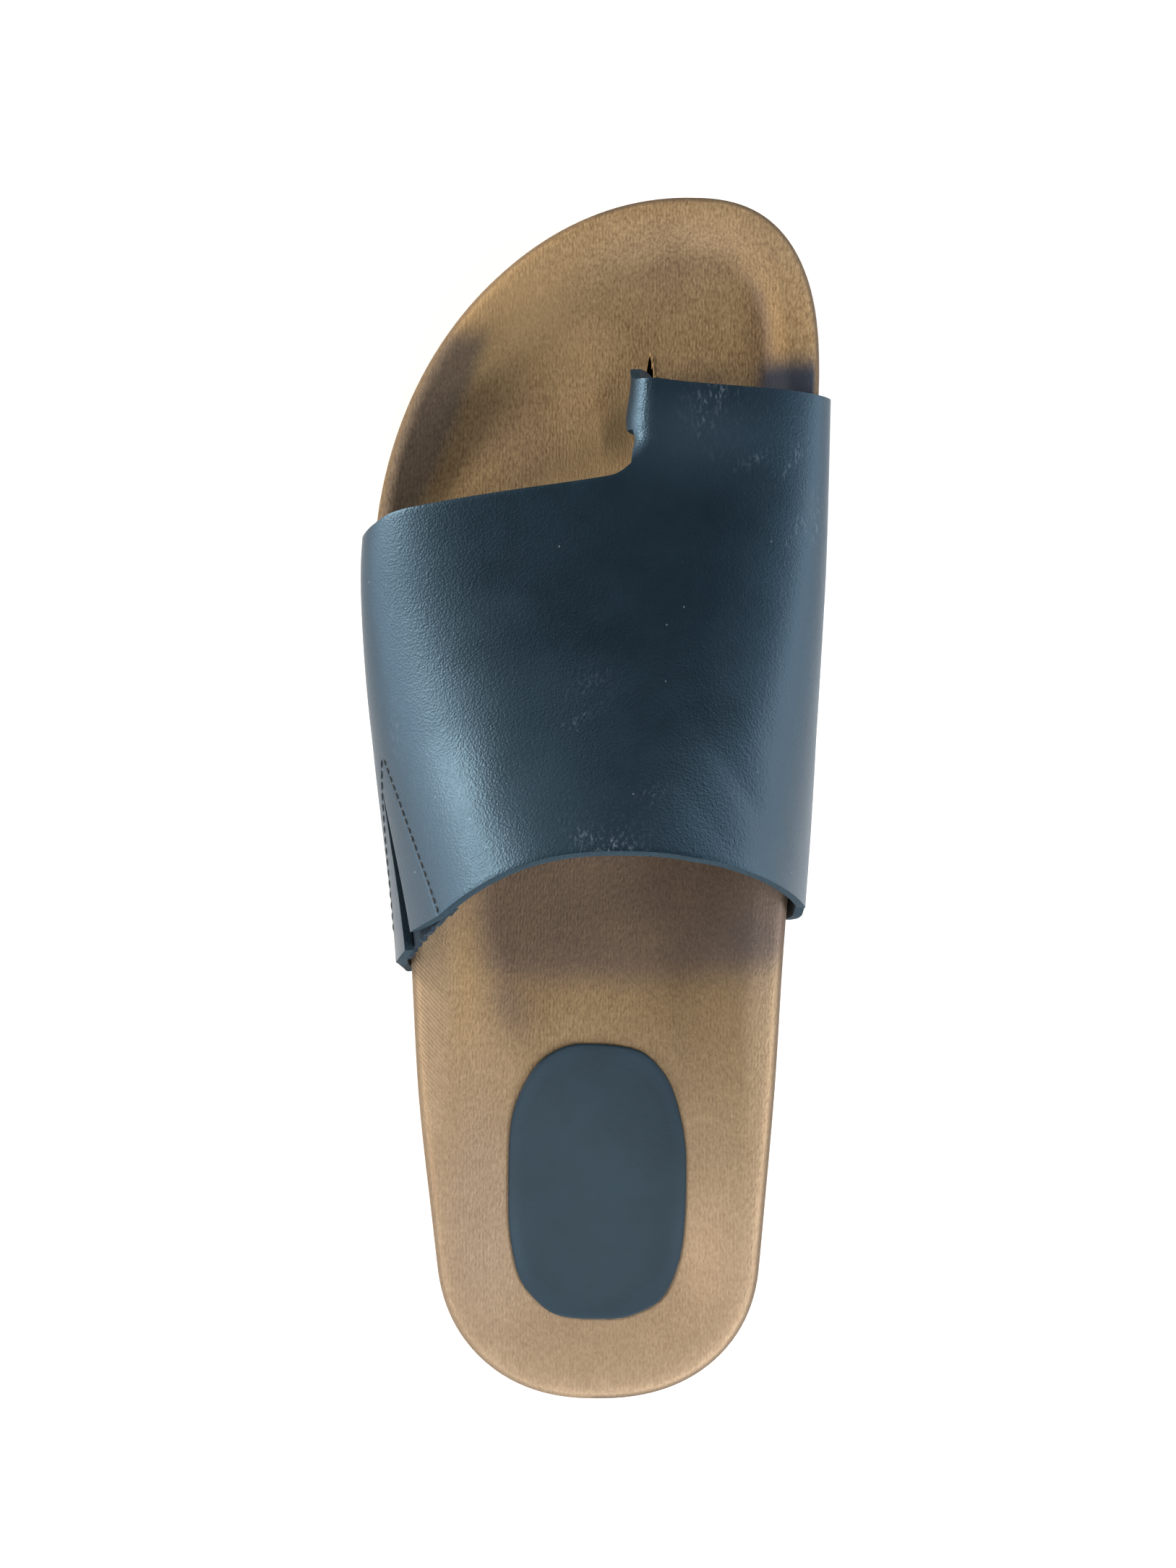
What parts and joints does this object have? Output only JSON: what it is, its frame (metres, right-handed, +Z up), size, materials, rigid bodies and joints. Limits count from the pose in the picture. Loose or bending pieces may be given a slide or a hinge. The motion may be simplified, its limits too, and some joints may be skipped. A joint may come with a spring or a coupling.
{
  "type": "toe-loop slide sandal",
  "caption": "Left toe-loop slide sandal: a wide leather band with a rolled toe loop over a contoured footbed on a flat rubber sole, open at toe and heel.",
  "frame": {"origin": "centre of the sandal's footprint box, on the floor", "axes": "+Z up, +Y from the heel to the toe, +X from the little toe to the big toe"},
  "size_m": [0.1052, 0.2716, 0.0821],
  "materials": {
    "outsole_rubber": "matte",
    "tan_microfibre": "napped, matte",
    "navy_leather": "smooth, semi-gloss",
    "underlay_leather": "matte",
    "patch_leather": "matte"
  },
  "bodies": {
    "root": {"outsole": "outsole_rubber", "footbed": "tan_microfibre", "upper": "navy_leather", "dart_underlay": "underlay_leather", "heel_patch": "patch_leather"}
  },
  "joints": []
}
